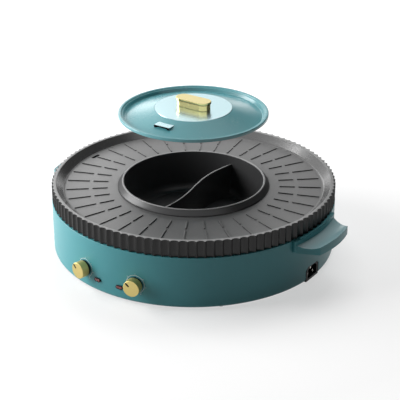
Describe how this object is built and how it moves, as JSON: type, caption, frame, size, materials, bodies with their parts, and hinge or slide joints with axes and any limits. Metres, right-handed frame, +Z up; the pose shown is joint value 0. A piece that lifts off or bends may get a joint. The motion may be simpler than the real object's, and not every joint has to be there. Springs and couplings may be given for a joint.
{
  "type": "hot pot grill combo",
  "caption": "Round countertop cooker: a lidded pot with an S-shaped divider set in a fluted grill pan, over a heated base with two dials and two handles.",
  "frame": {"origin": "on the round body's axis, at the surface that the feet stand on", "axes": "+Z up along the body's axis, -Y out of the front between the two dials, +X towards the handle above the power inlet"},
  "size_m": [0.463, 0.4117, 0.2187],
  "materials": {
    "teal_housing": "glossy teal moulding",
    "teal_enamel": "glossy teal enamel",
    "polished_disc": "mirror-polished, teal tint",
    "gold_metal": "polished gold",
    "grill_coating": "grey non-stick coating, satin",
    "pot_coating": "dark non-stick coating, satin",
    "black_plastic": "satin black",
    "red_lens": "clear dark red",
    "bare_steel": "plain",
    "cast_aluminium": "as cast, machined on top",
    "foot_rubber": "matte",
    "ceramic": "matte off-white",
    "lead_sheath": "glass-fibre sheath"
  },
  "bodies": {
    "base": {"base_shell": "teal_housing", "bottom_cover": "bare_steel", "cover_screw_front_left": "bare_steel", "cover_screw_front_right": "bare_steel", "cover_screw_rear_left": "bare_steel", "cover_screw_rear_right": "bare_steel", "drip_cup": "bare_steel", "foot_front_left": "foot_rubber", "foot_front_right": "foot_rubber", "foot_rear_left": "foot_rubber", "foot_rear_right": "foot_rubber", "grill_heater": "bare_steel", "handle_left": "teal_housing", "handle_left_screw_a": "bare_steel", "handle_left_screw_b": "bare_steel", "handle_right": "teal_housing", "handle_right_screw_a": "bare_steel", "handle_right_screw_b": "bare_steel", "heat_shield": "bare_steel", "heater_clip_left": "bare_steel", "heater_clip_rear": "bare_steel", "indicator_bezel_left": "black_plastic", "indicator_bezel_right": "black_plastic", "indicator_lens_left": "red_lens", "indicator_lens_right": "red_lens", "inlet_housing": "black_plastic", "inlet_pin_earth": "bare_steel", "inlet_pin_live": "bare_steel", "inlet_pin_neutral": "bare_steel", "knob_bezel_left": "black_plastic", "knob_bezel_right": "black_plastic", "lead_earth": "lead_sheath", "lead_grill_heater": "lead_sheath", "lead_grill_return": "lead_sheath", "lead_left_feed": "lead_sheath", "lead_live": "lead_sheath", "lead_neutral": "lead_sheath", "lead_pot_heater": "lead_sheath", "lead_pot_return": "lead_sheath", "lead_right_feed": "lead_sheath", "pot_heater": "cast_aluminium", "terminal_block": "ceramic", "thermal_fuse": "bare_steel", "thermostat_left": "ceramic", "thermostat_nut_left": "bare_steel", "thermostat_nut_right": "bare_steel", "thermostat_right": "ceramic"},
    "grill_pan": {"grill_pan": "grill_coating"},
    "pot": {"pot": "pot_coating"},
    "lid": {"lid_shell": "teal_enamel", "lid_disc": "polished_disc", "lid_knob_block": "gold_metal", "lid_knob_cap": "gold_metal", "lid_knob_screw": "bare_steel"},
    "knob_left": {"knob_left": "gold_metal", "knob_pointer_left": "black_plastic", "thermostat_shaft_left": "bare_steel"},
    "knob_right": {"knob_right": "gold_metal", "knob_pointer_right": "black_plastic", "thermostat_shaft_right": "bare_steel"}
  },
  "joints": [
    {"name": "pan_lift", "type": "slide", "parent": "base", "child": "grill_pan", "axis": [0, 0, 1], "range_m": [0, 0.12]},
    {"name": "pot_lift", "type": "slide", "parent": "grill_pan", "child": "pot", "axis": [0, 0, 1], "range_m": [0, 0.09]},
    {"name": "lid_lift", "type": "slide", "parent": "pot", "child": "lid", "axis": [0, 0, 1], "range_m": [-0.0995, 0.05]},
    {"name": "left_dial", "type": "hinge", "parent": "base", "child": "knob_left", "pos_m": [-0.04124, -0.1957, 0.0315], "axis": [0.2062, 0.9785, 0], "range_deg": [0, 270]},
    {"name": "right_dial", "type": "hinge", "parent": "base", "child": "knob_right", "pos_m": [0.04124, -0.1957, 0.0315], "axis": [-0.2062, 0.9785, 0], "range_deg": [0, 270]}
  ]
}
